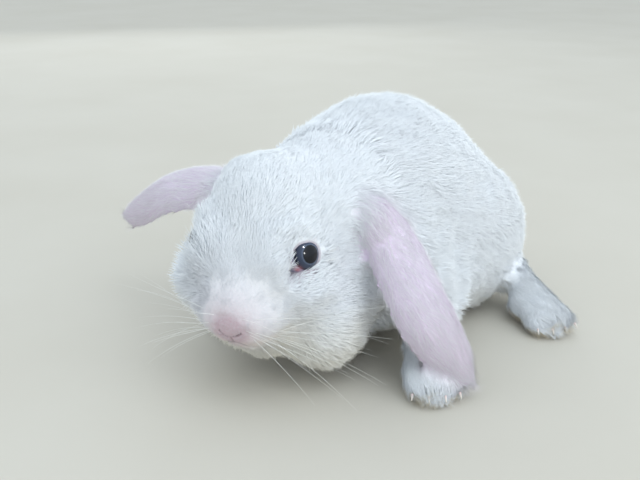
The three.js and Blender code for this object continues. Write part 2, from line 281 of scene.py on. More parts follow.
# Splits the faces near the fine features until their edges are short enough.
def refine(made):
    centres = [Vector(c) for c in (*eyeCentre.values(), *(onHead(*p) for p in skin["closePlaces"]))]
    for _ in range(skin["closePasses"]):
        near = [e for e in made.edges if e.calc_length() > skin["closeEdge"] * mm and any(
            (e.verts[0].co - c).length < r * mm for c, r in zip(centres, skin["closeReach"]))]
        if not near:
            break
        bmesh.ops.subdivide_edges(made, edges=near, cuts=1, use_grid_fill=True)
    bmesh.ops.triangulate(made, faces=[f for f in made.faces if len(f.verts) > 4])


def dropLooseParts(made):
    left = set(made.verts)
    groups = []
    while left:
        group = [left.pop()]
        for v in group:
            for e in v.link_edges:
                other = e.other_vert(v)
                if other in left:
                    left.remove(other)
                    group.append(other)
        groups.append(group)
    groups.sort(key=len)
    for group in groups[:-1]:
        bmesh.ops.delete(made, geom=group, context="VERTS")


flesh, owners = fleshBlock()
fleshTree = BVHTree.FromPolygons([v.co for v in flesh.vertices], [p.vertices for p in flesh.polygons])
body = edited(remeshed(flesh, skin["cell"]), dropLooseParts)
print("skin remeshed:", len(body.polygons), "faces")
sheet = Sheet(edited(body, refine))
print("skin refined:", len(sheet.triangles), "triangles")


# Regions of the coat.
# depth: how far the skin lies inside the tips. length, width: of a tuft, in millimetres.
# lift: sine of the angle at the root. sink: how deep the root lies. perArea: tufts on a square millimetre.
columns = ("depth", "length", "width", "lift", "sink", "perArea")
coat = {
    "head": (2.0, 5.2, 0.34, 0.36, 0.3, 5.2),
    "neck": (3.0, 8.5, 0.42, 0.48, 0.35, 3.4),
    "trunk": (2.8, 9.0, 0.56, 0.34, 0.3, 4.4),
    "tail": (3.6, 9.0, 0.46, 0.6, 0.35, 2.8),
    "feet": (1.4, 4.8, 0.36, 0.42, 0.25, 5.0),
    "ears": (0.6, 5.0, 0.13, 0.26, 0.06, 3.6),
}
groupOf = {"head": "head", "lower": "head", "nose": "head", "neck": "neck", "tail": "tail", "ear": "ears",
           "forefoot": "feet", "hindfoot": "feet"}
groups = list(coat)


nodeAt = np.array([owners[fleshTree.find_nearest(Vector(p))[2]] for p in sheet.places])
groupAt = np.array([groupOf.get(n.split("_")[0], "trunk") for n in nodeAt])
belongs = np.stack([groupAt == group for group in groups], 1).astype(float)
softBelongs = sheet.spread(belongs, skin["blend"])
onEar = softBelongs[:, groups.index("ears")]
onFoot = softBelongs[:, groups.index("feet")]


def regional(key):
    return softBelongs @ np.array([row[columns.index(key)] for row in coat.values()])


# Parts of the head, in its axes: where each begins and is full, ahead, aside and down from the middle.
headFields = {
    "nose": {"centre": (24.2, 0.5, -21), "shortUpTo": (2, 44), "shortest": 0.24},
    "lid": {"shortUpTo": (6.6, 13), "shortest": 0.35},
    "brow": {"centre": (10, 17, 1), "reach": 8, "raised": 1.25},
    "farBrow": {"centre": (13, -13, 0), "reach": 9, "raised": 0.8},
    "cheek": {"aside": (14, 22), "ahead": (-18, 2), "down": (-2, 6)},
    "chin": {"down": (27, 35)},
    "farSide": (2, 10),
    "fringe": {"ahead": (-6, 5), "aheadEnd": (17, 24), "down": (-12, -3), "downEnd": (20, 30)},
}


def shortened(distance, values):
    return values["shortest"] + (1 - values["shortest"]) * smoothstep(distance, *values["shortUpTo"])


stiff = skin["stiffEar"] * np.clip(onEar + onFoot * skin["stiffFoot"], 0, 1)
sheet.smooth(skin["smoothing"], (1 - stiff)[:, None])
headPlace = inHead(sheet.places)
ahead, aside, down = headPlace[:, 0], np.abs(headPlace[:, 1]), -headPlace[:, 2]
onHeadShare = softBelongs[:, groups.index("head")]
fromNose = distances(headPlace, headFields["nose"]["centre"])
fromEye = np.minimum(*(distances(sheet.places, centre) / mm for centre in eyeCentre.values()))
shortFace = 1 - onHeadShare * (1 - shortened(fromNose, headFields["nose"]))
shortLid = shortened(fromEye, headFields["lid"])
brow, farBrow, cheek, chin, fringe = (headFields[k] for k in ("brow", "farBrow", "cheek", "chin", "fringe"))
farSide = smoothstep(-headPlace[:, 1], *headFields["farSide"])
onBrow = onHeadShare * fade(distances(np.stack((ahead, aside, -down), 1), brow["centre"]), brow["reach"])
onFarBrow = onHeadShare * farSide * fade(distances(headPlace, farBrow["centre"]), farBrow["reach"])
onCheek = onHeadShare * smoothstep(aside, *cheek["aside"]) * smoothstep(ahead, *cheek["ahead"]) \
    * smoothstep(down, *cheek["down"])
onChin = onHeadShare * smoothstep(down, *chin["down"])
onFringe = onHeadShare * farSide * smoothstep(ahead, *fringe["ahead"]) \
    * (1 - smoothstep(ahead, *fringe["aheadEnd"])) \
    * smoothstep(down, *fringe["down"]) * (1 - smoothstep(down, *fringe["downEnd"]))
depth = regional("depth") * shortFace * (0.6 + 0.4 * shortLid) * (1 - brow["raised"] * onBrow) \
    - farBrow["raised"] * onFarBrow


# Which way the hair lies.
def tipOf(node):
    places = np.array([v.co for v in frame["nodes"][node].data.vertices])
    return places[np.argmax(distances(places, headOrigin))]


def clawMiddle(foot):
    names = [n for n in frame["nodes"] if n.startswith("claw_" + foot)]
    return np.mean([middleOf(n) for n in names], axis=0)


sides = {"left": 1, "right": -1}
lie = {
    "trunk": (0.0, 1.0, -0.35),
    "haunch": (0, 0.8, -0.5),
    "tail": (0, 0.35, 0.9),
    "headFrom": (34, 0, -15),  # ahead of the nose: the head's hair runs away from here
    "earFrom": (-18, 20, 14),
    "spread": 16,
    "lastPasses": (4, 2),
    "fromEye": 3.2,  # how strongly it turns away from each eye
    "fromEyeReach": 3.5,
}


def hairWays():
    ways = np.tile(lie["trunk"], (len(nodeAt), 1))
    head = np.isin(nodeAt, ("head", "lower_jaw", "nose"))
    ways[head] = (unit(headPlace - lie["headFrom"]) @ headAxes)[head]
    x, y, z = lie["earFrom"]
    for side, s in sides.items():
        ways[nodeAt == "ear_" + side] = unit(tipOf("ear_" + side) - onHead(x, s * y, z))
        ways[nodeAt == "haunch_" + side] = unit(lie["haunch"])
        for foot in ("fore", "hind"):
            node = foot + "foot_" + side
            ways[nodeAt == node] = unit((clawMiddle(foot + "_" + side) - middleOf(node)) * (1, 1, 0.5))
    ways[nodeAt == "tail"] = unit(lie["tail"])
    ways = sheet.spread(ways, lie["spread"])
    for centre in eyeCentre.values():
        away = sheet.places - centre
        past = np.maximum(distances(away) / mm - globeRadius, 0)
        ways += lie["fromEye"] * fade(past, lie["fromEyeReach"])[:, None] * unit(away)
    return ways


def alongSkin(ways, normals):
    return unit(ways - (ways * normals).sum(1, keepdims=True) * normals)


ways = hairWays()
sheet.places -= sheet.normals() * depth[:, None] * mm
sheet.smooth(skin["lastSmoothing"], 1 - skin["lastStiffEar"] * onEar[:, None])
print("skin drawn in under the coat")


# Eyes: lids in the skin, and a globe with its iris and pupil. Angles are in degrees.
eye = {
    "look": (0.45, 0.86, 0.27),  # the way the pupil faces, ahead, aside and up
    "opening": 46,  # from the middle of the pupil to the lid's edge
    "corner": 40,  # how much further the inner corner reaches
    "cornerWidth": 0.2,
    "offset": 6,  # the lids stand a little towards the corner
    "cornerAt": 218,  # degrees round the eye, from straight behind, upwards
    "upperDrop": 8,  # how far the upper lid comes down
    "frontReach": 9,  # how much further the opening goes towards the nose
    "hole": 69,  # from the middle of the round hole in which the globe sits to its edge
    "drawnFrom": 124,
    "nearby": 7,  # how far past the globe the lids shape the skin, in millimetres
    "widest": 130,
    "lidHeight": 0.75,  # of the lid over the globe, in millimetres
    "lidEdge": 5,
    "lidBlend": (8, 34),
    "behind": 1.1,  # how far the skin goes behind the globe under the opening
    "rimWidth": 6,
    "rimStart": -12,
    "openingEnd": -1,
    "bareLid": (4, 10),
    "socketDepth": 3.5,  # no hair grows on skin this near to the globe that faces it
    "socketFacing": 0.15,
    "iris": 51,
    "pupil": 27,
    "bulge": 0.35,  # how far the cornea stands out
}


def eyeAxes(s):
    look = headWay(eye["look"][0], s * eye["look"][1], eye["look"][2])
    rear = unit(-headAhead + look * (headAhead @ look))
    above = np.cross(look, rear)
    return look, rear, above if above[2] > 0 else -above


# Angle from the middle of the pupil, angle round it from the rear upwards, and distance.
def aroundEye(places, side):
    look, rear, above = eyeAxes(sides[side])
    ray = (places - eyeCentre[side]) / mm
    far = distances(ray)
    ray = ray / far[:, None]
    return np.degrees(np.arccos(np.clip(ray @ look, -1, 1))), np.arctan2(ray @ above, ray @ rear), far


def lidEdge(roundEye):
    fromCorner = np.angle(np.exp(1j * (roundEye - math.radians(eye["cornerAt"]))))
    upper = eye["upperDrop"] * np.maximum(np.sin(roundEye), 0)
    front = eye["frontReach"] * np.maximum(-np.cos(roundEye), 0)
    return eye["opening"] - upper + front + eye["offset"] * np.cos(fromCorner) \
        + eye["corner"] * fade(fromCorner, eye["cornerWidth"])


# Draws the round hole in which the globe sits in to the lids' edge.
def drawnIn(side, angle, roundEye, far, near):
    look, rear, above = eyeAxes(sides[side])
    seat = headWay(eyeSeat["way"][0], sides[side] * eyeSeat["way"][1], eyeSeat["way"][2])
    tilt = math.degrees(math.acos(seat @ look))
    hole = eye["hole"] + tilt * np.cos(roundEye - math.atan2(seat @ above, seat @ rear))
    edge = lidEdge(roundEye)
    outer = edge + (angle - hole) * (eye["drawnFrom"] - edge) / (eye["drawnFrom"] - hole)
    moved = np.where(angle < hole, angle * edge / hole, outer)
    moved = np.where(near & (angle < eye["drawnFrom"]), moved, angle)
    a = np.radians(moved)[:, None]
    r = roundEye[:, None]
    ray = np.cos(a) * look + np.sin(a) * (np.cos(r) * rear + np.sin(r) * above)
    sheet.places = np.where(near[:, None], eyeCentre[side] + ray * far[:, None] * mm, sheet.places)
    return moved


def shapeLids(side):
    angle, roundEye, far = aroundEye(sheet.places, side)
    near = (far < globeRadius + eye["nearby"]) & (angle < eye["widest"])
    past = drawnIn(side, angle, roundEye, far, near) - lidEdge(roundEye)
    # under the opening the skin goes behind the globe, and past it stands over the globe as a lid
    lid = globeRadius + eye["lidHeight"] * smoothstep(past, 0, eye["lidEdge"])
    reach = smoothstep(past, *eye["lidBlend"])
    outside = np.maximum(far, lid) * reach + lid * (1 - reach)
    inside = np.minimum(far, globeRadius - eye["behind"] * smoothstep(-past, 0, eye["lidEdge"]))
    wanted = np.where(past < 0, inside, outside)
    wanted = np.where(near, wanted, far)
    ray = (sheet.places - eyeCentre[side]) / far[:, None]
    sheet.places = eyeCentre[side] + ray * wanted[:, None]
    return near, past


lidShade = np.zeros(len(sheet.places))
inOpening = np.zeros(len(sheet.places), bool)
byLid = np.zeros(len(sheet.places))
for side in eyeCentre:
    near, past = shapeLids(side)
    rim = fade(np.maximum(past, 0), eye["rimWidth"]) * (past > eye["rimStart"])
    lidShade = np.maximum(lidShade, near * rim)
    inOpening |= near & (past < eye["openingEnd"])
    byLid = np.maximum(byLid, near * (1 - smoothstep(past, *eye["bareLid"])))


# Nose, lips and mouth: grooves along lines laid on the face, which start from the tip of the nose.
noseTip = np.array((24.6, 0.6, -21.4))
faceReach = 24
grooves = {
    "nostril": {"path": [(0, 1.2, -2.2), (-0.4, 2.2, -1.6), (-1.3, 3.4, 0.2)],
                "width": 0.36, "deep": 0.9, "paired": True},
    "philtrum": {"path": [(0.5, 0, -2.6), (0, 0, -4), (-1, 0, -6.2)],
                 "width": 0.35, "deep": 0.6, "paired": False},
    "lip": {"path": [(-1, 0, -6.2), (-2.5, 2.6, -7.2), (-6, 5.2, -8.4), (-11, 8, -9.2), (-16, 10, -9.6)],
            "width": 0.5, "deep": 1.2, "paired": True},
    "noseEdge": {"path": [(-2.4, 4.6, 2), (-3.2, 3.4, 4.4), (-3.4, 0, 5.4)],
                 "width": 0.9, "deep": 0.2, "paired": True},
}


def skinTree():
    return BVHTree.FromPolygons([Vector(p) for p in sheet.places], sheet.triangles.tolist())


def nearestSkin(tree, x, y, z):
    return np.array(tree.find_nearest(Vector(onHead(x, y, z)))[0])


def onSkin(path, steps=14):
    tree = skinTree()
    corners = np.array([nearestSkin(tree, *p) for p in path])
    at = np.linspace(0, len(corners) - 1, (len(corners) - 1) * steps + 1)
    return np.stack([np.interp(at, range(len(corners)), corners[:, k]) for k in range(3)], 1)


def nearestOn(line, places):
    found = np.full(len(places), 1e9)
    for p in line:
        found = np.minimum(found, distances(places, p))
    return found / mm


face = np.flatnonzero(fromNose < faceReach)
grooveAt = {}
normals = sheet.normals()
for name, groove in grooves.items():
    press = np.zeros(len(sheet.places))
    for s in ((1, -1) if groove["paired"] else (1,)):
        line = onSkin([noseTip + (x, y * s, z) for x, y, z in groove["path"]])
        away = nearestOn(line, sheet.places[face])
        press[face] = np.maximum(press[face], fade(away, groove["width"]))
    grooveAt[name] = press
    sheet.places -= normals * (press * groove["deep"] * mm)[:, None]
sheet.write()
print("lids, nose and mouth shaped")

normals = sheet.normals()
ways = alongSkin(ways, normals)
passes, each = lie["lastPasses"]
for _ in range(passes):
    ways = alongSkin(sheet.spread(ways, each), normals)


# Colour masks kept on the skin and handed on to the hair. Distances are in millimetres.
marking = {
    "soleFacing": (0.35, 0.85),  # how far down a surface faces
    "bounceFacing": (-0.1, 0.9),
    "earRoots": ((-18, 22, 13), (-20, -17, 13)),
    "earFoot": (5, 20),
    "earEnd": (35, 70),
    "lowFaceBounce": (16, 32),
    "nosePatch": 5.0,
    "muzzle": 16,
    "bareNose": 3.6,
}
footUnder = smoothstep(-normals[:, 2], *marking["soleFacing"]) * onFoot
# painted light: surfaces facing down get a warm tint standing in for light bounced up from the floor
under = smoothstep(-normals[:, 2], *marking["bounceFacing"]) * (1 - onEar)
fromEarRoot = np.min([distances(sheet.places, onHead(*root)) for root in marking["earRoots"]], axis=0) / mm
earFoot = onEar * (1 - smoothstep(fromEarRoot, *marking["earFoot"]))
earEnd = onEar * smoothstep(fromEarRoot, *marking["earEnd"])
# painted light: the low face gets the same warm bounce tint
lowFaceBounce = onHeadShare * smoothstep(down, *marking["lowFaceBounce"])
fromMuzzle = distances(inHead(sheet.places), noseTip)
nosePatch = fade(fromMuzzle, marking["nosePatch"])
masks = {
    "ear": np.clip((onEar - 0.7 * earFoot) * 1.15, 0, 1),
    "nose": np.clip(nosePatch + 0.7 * fade(fromMuzzle, marking["muzzle"]) + 0.35 * earEnd, 0, 1),
    "rim": np.clip(lidShade, 0, 1),
    "sole": footUnder,
    # painted warm bounce light underneath and on the low face, together with the real yellow stain of the
    # soles
    "warm": np.clip(under * 0.6 + footUnder + lowFaceBounce * 0.7, 0, 1),
    # painted shade: the lip, nostril and philtrum grooves are painted dark where the slits lie in shade, over
    # the lip's own darker skin
    "crease": np.clip(grooveAt["lip"] + 0.7 * grooveAt["nostril"] + 0.4 * grooveAt["philtrum"], 0, 1),
}


def storeMasks(mesh, values):
    for name, value in values.items():
        mesh.attributes.new(name, "FLOAT", "POINT").data.foreach_set("value", value.astype(np.float32))


# The coat: solid tufts, rooted a little under the skin.
tuft = {
    "lengths": (0.72, 1.12),  # from the shortest to the longest, as a share
    "widths": (0.75, 1.2),
    "breadthAt": (0, 0.3, 0.65, 1),
    "breadth": (0.75, 1.0, 0.72, 0),
    "lifts": (0.08, 0.95),
    "liftJitter": 0.18,
    "fluff": 0.25,  # slow change of lift
    "fluffWave": 5.0,
    "droop": 0.40,  # how far the tip bends back down
    "jitter": 0.16,  # spread of direction from one tuft to the next
    "sway": 0.26,  # slow change of direction that makes soft clumps
    "swayWave": 7.0,
    "flatness": 0.32,  # height of the section against half its width
    "roundness": 0.4,  # how far its shading leaves that of the skin below
    "underside": 0.6,  # share of the skin's shading on its underside
    "ahead": 0.08,
    "floorGap": 0.25,
    "aroundToes": 5,
    "patch": 0.003,  # size on the unwrap
    "mostTriangles": 190000,
}
unwrap = {"angle_limit": math.radians(66), "island_margin": 0.003}
skyward = unit(0.8 * up + 0.6 * viewBack)  # the tufts take their light a little from here


def ripple(places, wave, waves=7, stretch=(0.6, 1.6)):
    total = np.zeros(len(places))
    for _ in range(waves):
        way = unit(rng.normal(size=3)) * 2 * math.pi / (wave * mm * rng.uniform(*stretch))
        total += np.sin(places @ way + rng.uniform(0, 2 * math.pi))
    return total / math.sqrt(waves)


def unwrapped():
    flat = linked("unwrap", body.copy())
    flat.data.uv_layers.new(name="flat")
    bpy.context.view_layer.objects.active = flat
    flat.select_set(True)
    bpy.ops.object.mode_set(mode="EDIT")
    bpy.ops.mesh.select_all(action="SELECT")
    bpy.ops.uv.smart_project(**unwrap)
    bpy.ops.object.mode_set(mode="OBJECT")
    places = read(flat.data.uv_layers["flat"].data, "uv", 2)
    bpy.data.objects.remove(flat)
    return places


def rootsFor(perArea):
    corners = sheet.places[sheet.triangles]
    area = np.linalg.norm(np.cross(corners[:, 1] - corners[:, 0], corners[:, 2] - corners[:, 0]), axis=1) / 2
    wanted = np.cumsum(area / mm ** 2 * perArea[sheet.triangles].mean(1))
    count = int(wanted[-1])
    chosen = np.searchsorted(wanted, (np.arange(count) + rng.random(count)) / count * wanted[-1])
    chosen = np.minimum(chosen, len(sheet.triangles) - 1)
    share = np.sort(rng.random((count, 2)), axis=1)
    weights = np.stack((share[:, 0], share[:, 1] - share[:, 0], 1 - share[:, 1]), 1)
    return chosen, weights


def tuftMesh(name, places, shading, ways, flatPlaces, values):
    # places: tufts x (3 corners of each ring, then the tip) x 3
    count, size = places.shape[:2]
    rings = (size - 1) // 3
    faces = [[2, 1, 0]]
    for r in range(rings - 1):
        faces += [[r * 3 + j, r * 3 + (j + 1) % 3, r * 3 + 3 + (j + 1) % 3, r * 3 + 3 + j] for j in range(3)]
    faces += [[size - 4 + j, size - 4 + (j + 1) % 3, size - 1] for j in range(3)]
    lengths = np.array([len(f) for f in faces])
    order = np.concatenate(faces)
    loops = (np.arange(count)[:, None] * size + order).ravel()
    starts = (np.arange(count)[:, None] * len(order) + np.concatenate(([0], np.cumsum(lengths)[:-1]))).ravel()
    mesh = bpy.data.meshes.new(name)
    mesh.vertices.add(count * size)
    mesh.vertices.foreach_set("co", places.ravel())
    mesh.loops.add(len(loops))
    mesh.loops.foreach_set("vertex_index", loops)
    mesh.polygons.add(len(starts))
    mesh.polygons.foreach_set("loop_start", starts)
    mesh.update(calc_edges=True)
    smoothShaded(mesh)
    # each tuft's small patch, its width across and its length upwards
    across = np.array([0, 0.5, 1] * rings + [0.5]) - 0.5
    along = np.array([r / rings for r in range(rings) for _ in range(3)] + [1]) - 0.5
    patch = np.stack((across[order], along[order]), 1)
    patch[1] = (0, -0.35)  # the root's own face keeps a little area
    flat = mesh.uv_layers.new(name="OFBake")
    flat.data.foreach_set("uv", (flatPlaces[:, None] + patch * tuft["patch"]).ravel())
    perVertex = {key: np.repeat(value, size) for key, value in values.items()}
    perVertex["along"] = np.tile(along + 0.5, count)
    storeMasks(mesh, perVertex)
    # the underside of a tuft takes its light from ahead of the tip
    below = np.repeat([i > 0 and i % 3 == 0 for i in range(len(faces))], lengths)
    cornerWays = shading[:, order]
    cornerWays[:, below] = unit(tuft["underside"] * cornerWays[:, below] + ways[:, None])
    mesh.normals_split_custom_set(cornerWays.reshape(-1, 3).tolist())
    return mesh


def growTufts(name, chosen, weights, rings):
    def at(values):
        return (values[sheet.triangles[chosen]] * (weights[..., None] if values.ndim > 1 else weights)).sum(1)

    root, normal = at(sheet.places), unit(at(normals))
    way = alongSkin(at(ways), normal)
    side = np.cross(way, normal)
    count = len(chosen)
    turn = tuft["sway"] * at(sway) + tuft["jitter"] * rng.normal(size=count)
    way = unit(way * np.cos(turn)[:, None] + side * np.sin(turn)[:, None])
    side = np.cross(way, normal)
    length = at(tuftLength) * rng.uniform(*tuft["lengths"], count)
    width = at(tuftWidth) * rng.uniform(*tuft["widths"], count) / 2
    varied = 1 + tuft["fluff"] * at(fluff) + tuft["liftJitter"] * rng.normal(size=count)
    lift = np.clip(at(tuftLift) * varied, *tuft["lifts"])
    level = np.sqrt(1 - lift ** 2)
    sink = at(tuftSink)[:, None] * mm
    lit = unit(normal + at(tuftLight)[:, None] * skyward)
    steps = np.linspace(0, 1, rings + 1)
    breadth = np.interp(steps, tuft["breadthAt"], tuft["breadth"])
    places = np.empty((count, rings * 3 + 1, 3))
    shading = np.empty_like(places)
    corners = ((-1, 0), (0, 1), (1, 0))  # aside and up
    for r, s in enumerate(steps):
        centre = root - normal * sink \
            + (way * (s * level)[:, None] + normal * (lift * (s - tuft["droop"] * s * s))[:, None]) \
            * (length * mm)[:, None]
        for j, (aside, over) in enumerate(corners if r < rings else ((0, 0),)):
            shift = side * aside + normal * over * tuft["flatness"]
            places[:, r * 3 + j] = centre + shift * (width * breadth[r] * mm)[:, None]
            shading[:, r * 3 + j] = unit(lit + tuft["roundness"] * shift + tuft["ahead"] * way)
    places[..., 2] = np.maximum(places[..., 2], tuft["floorGap"] * mm)  # what lies under is pressed level
    values = {"tone": rng.normal(size=count)}
    for mask in ("warm", "sole", "ear", "nose"):
        values[mask] = at(masks[mask])
    flatAt = (flatMap[sheet.loops[chosen]] * weights[..., None]).sum(1)
    return tuftMesh(name, places, shading, way, flatAt, values)


clawPlaces = np.array([middleOf(n) for n in frame["nodes"] if n.startswith("claw_")])
fromClaw = np.min(np.linalg.norm(sheet.places[:, None] - clawPlaces, axis=2), axis=1) / mm
fields = {
    "toes": fade(fromClaw, tuft["aroundToes"]),
    "standing": np.maximum(onBrow, 0.8 * np.maximum(onCheek, onChin)) * (0.7 + 0.6 * farSide),
    "earFoot": earFoot, "farBrow": onFarBrow, "fringe": onFringe, "foot": onFoot, "ear": onEar,
    "farHair": np.maximum(onFarBrow, onFringe),
}


def added(**shares):
    return sum(share * fields[name] for name, share in shares.items())


tuftLength = regional("length") * shortFace * shortLid * (1 + added(standing=0.7, toes=1.3, earFoot=0.7))
tuftLength += added(farBrow=2.5, fringe=3.5)
tuftWidth = regional("width") * (0.45 + 0.55 * shortFace) * (0.6 + 0.4 * shortLid) * (1 + added(fringe=0.3))
tuftLift = regional("lift") * (1 - added(toes=0.3)) + added(standing=0.4, earFoot=0.15, farHair=0.5)
tuftLight = 0.12 + added(foot=1.3, ear=0.25, fringe=1.0)
tuftSink = regional("sink")
inSocket = np.zeros(len(normals), bool)
for centre in eyeCentre.values():
    ray = sheet.places - centre
    near = distances(ray) < (globeRadius + eye["socketDepth"]) * mm
    inSocket |= near & ((unit(ray) * normals).sum(1) < eye["socketFacing"])
bareNose = 0.3 * fade(fromMuzzle, marking["bareNose"])
bare = np.clip(bareNose + masks["crease"] + 2 * inOpening + 2 * inSocket + byLid, 0, 1)
perArea = regional("perArea") * (1 - bare) * (1 - added(fringe=0.55)) / (0.35 + 0.65 * shortFace * shortLid)
sway = ripple(sheet.places, tuft["swayWave"])
fluff = ripple(sheet.places, tuft["fluffWave"])
flatMap = unwrapped()
print("skin unwrapped")
chosen, weights = rootsFor(perArea)
groupAt = np.argmax(softBelongs, 1)[sheet.triangles[chosen, 0]]
coatPieces = []
for i, group in enumerate(groups):
    own = np.flatnonzero(groupAt == i)
    own = own[np.argsort(sheet.places[sheet.triangles[chosen[own], 0], 1], kind="stable")]
    rings = 1 if group in ("ears", "trunk", "feet") else 2
    triangles = 4 + 6 * (rings - 1)
    for part, some in enumerate(np.array_split(own, math.ceil(len(own) * triangles / tuft["mostTriangles"]))):
        name = f"coat_{group}_{part + 1}"
        coatPieces.append((group, linked(name, growTufts(name, chosen[some], weights[some], rings))))
        print(name, len(some), "tufts,", len(some) * triangles, "triangles")


# Materials.
def tint(red, green, blue):
    def straight(c):
        c /= 255
        return c / 12.92 if c <= 0.04045 else ((c + 0.055) / 1.055) ** 2.4
    return straight(red), straight(green), straight(blue), 1


def tints(**colours):
    return {name: tint(*colour) for name, colour in colours.items()}


# A new node with its settings, and each input given a value or linked to a socket.
def place(tree, kind, inputs=None, **settings):
    node = tree.nodes.new(kind)
    for key, value in settings.items():
        setattr(node, key, value)
    for key, value in (inputs or {}).items():
        if isinstance(value, bpy.types.NodeSocket):
            tree.links.new(value, node.inputs[key])
        else:
            node.inputs[key].default_value = value
    return node


def maths(tree, operation, first, second, clamp=False):
    inputs = {0: first, 1: second}
    return place(tree, "ShaderNodeMath", inputs, operation=operation, use_clamp=clamp).outputs[0]


def mixed(tree, share, first, second, blend="MIX"):
    inputs = {0: share, 6: first, 7: second}
    return place(tree, "ShaderNodeMix", inputs, data_type="RGBA", blend_type=blend).outputs[2]


def attribute(tree, name):
    return place(tree, "ShaderNodeAttribute", attribute_name=name).outputs["Fac"]


def noise(tree, scale, detail=3, stretch=None, vector=None):
    where = vector or place(tree, "ShaderNodeTexCoord").outputs["Object"]
    if stretch:
        where = place(tree, "ShaderNodeMapping", {"Vector": where, "Scale": stretch}).outputs[0]
    inputs = {"Vector": where, "Scale": scale, "Detail": detail}
    return place(tree, "ShaderNodeTexNoise", inputs).outputs["Fac"]


def ramp(tree, share, *stops):
    node = place(tree, "ShaderNodeValToRGB", {"Fac": share})
    bar = node.color_ramp.elements
    while len(bar) < len(stops):
        bar.new(0.5)
    for spot, (at, colour) in zip(bar, stops):
        spot.position = at
        spot.color = colour
    return node.outputs["Color"]


def surface(name, **values):
    made = bpy.data.materials.new(name)
    made.use_nodes = True
    shader = made.node_tree.nodes["Principled BSDF"]
    for key, value in values.items():
        shader.inputs[key.replace("_", " ")].default_value = value
    return made, made.node_tree, shader


# Links a surface's colour, and the noise that stands for its grain.
def coloured(tree, shader, colour, grain=None, height=0, strength=1):
    tree.links.new(colour, shader.inputs["Base Color"])
    if grain:
        inputs = {"Height": grain, "Distance": height * mm, "Strength": strength}
        bump = place(tree, "ShaderNodeBump", inputs)
        tree.links.new(bump.outputs["Normal"], shader.inputs["Normal"])


def times(tree, first, second):
    return maths(tree, "MULTIPLY", first, second)


# the warm cream colour is painted bounce light on the undersides, and the real stain of the soles
furColours = tints(white=(248, 251, 253), shade=(242, 246, 250), warm=(244, 240, 228),
                   sole=(236, 222, 190), ear=(250, 244, 250), nose=(202, 192, 198), root=(236, 238, 241))
skinColours = tints(undercoat=(244, 245, 247), ear=(232, 218, 238), earVein=(220, 198, 224),
                    nose=(188, 156, 166), rim=(176, 166, 178), crease=(96, 66, 66))
toneValues = {"patches": 90, "warmFrom": 0.35, "sole": 0.8, "middle": 0.985, "swing": 0.012, "earSwing": 0.03}


# White fur, pinker on the ears and nose and stained yellow on the soles, with painted warm bounce light
# underneath: the same markings for skin and tufts.
def coatTone():
    group = bpy.data.node_groups.new("coat_tone", "ShaderNodeTree")
    for name in ("Tone", "Warm", "Sole", "Ear", "Nose"):
        group.interface.new_socket(name, in_out="INPUT", socket_type="NodeSocketFloat")
    group.interface.new_socket("Color", in_out="OUTPUT", socket_type="NodeSocketColor")
    given = group.nodes.new("NodeGroupInput").outputs
    patchy = noise(group, toneValues["patches"])
    colour = mixed(group, patchy, furColours["white"], furColours["shade"])
    # painted warm bounce light underneath, with the soles' real stain, is mixed in here
    warmth = maths(group, "ADD", patchy, toneValues["warmFrom"])
    warmth = maths(group, "MULTIPLY", given["Warm"], warmth, True)
    colour = mixed(group, warmth, colour, furColours["warm"])
    sole = times(group, given["Sole"], toneValues["sole"])
    for share, name in ((sole, "sole"), (given["Ear"], "ear"), (given["Nose"], "nose")):
        colour = mixed(group, share, colour, furColours[name])
    swing = times(group, given["Ear"], toneValues["earSwing"])
    swing = maths(group, "ADD", swing, toneValues["swing"])
    varied = maths(group, "ADD", times(group, given["Tone"], swing), toneValues["middle"])
    colour = mixed(group, 1.0, colour, varied, "MULTIPLY")
    out = group.nodes.new("NodeGroupOutput")
    group.links.new(colour, out.inputs["Color"])
    return group


toneGroup = coatTone()


def toned(tree, **inputs):
    return place(tree, "ShaderNodeGroup", inputs, node_tree=toneGroup).outputs["Color"]


def markings(tree, *names):
    return {name.capitalize(): attribute(tree, name) for name in names}


skinGrain = {"ear": 420, "nose": 1400, "fine": 900, "finer": 2600, "height": 0.35, "strength": 0.6}


def skinMaterial():
    made, tree, shader = surface("skin", Roughness=0.62)
    fur = toned(tree, Tone=0.0, Ear=0.0, Nose=0.0, **markings(tree, "warm", "sole"))
    colour = mixed(tree, 0.35, fur, skinColours["undercoat"], "MULTIPLY")
    ear = mixed(tree, noise(tree, skinGrain["ear"], 4), skinColours["ear"], skinColours["earVein"])
    colour = mixed(tree, attribute(tree, "ear"), colour, ear)
    mottle = times(tree, noise(tree, skinGrain["nose"], 2), 0.9)
    nose = mixed(tree, mottle, skinColours["nose"], furColours["nose"])
    colour = mixed(tree, attribute(tree, "nose"), colour, nose)
    # the lid rim colour, and the dark groove colour that is partly painted shade
    for name in ("rim", "crease"):
        colour = mixed(tree, attribute(tree, name), colour, skinColours[name])
    finer = times(tree, noise(tree, skinGrain["finer"], 2), 0.4)
    fine = maths(tree, "ADD", noise(tree, skinGrain["fine"], 5), finer)
    coloured(tree, shader, colour, fine, skinGrain["height"], skinGrain["strength"])
    return made


furGrain = {"scale": 3000, "height": 0.05, "strength": 0.3}


def furMaterial(name, roughness):
    made, tree, shader = surface(name, Roughness=roughness, Specular_IOR_Level=0.2)
    along = attribute(tree, "along")
    fur = toned(tree, **markings(tree, "tone", "warm", "sole", "ear", "nose"))
    # painted shade: each tuft is a little darker towards its root, deep in the coat
    root = mixed(tree, 1.0, fur, furColours["root"], "MULTIPLY")
    grain = noise(tree, furGrain["scale"], 2)
    coloured(tree, shader, mixed(tree, along, root, fur), grain, furGrain["height"], furGrain["strength"])
    return made


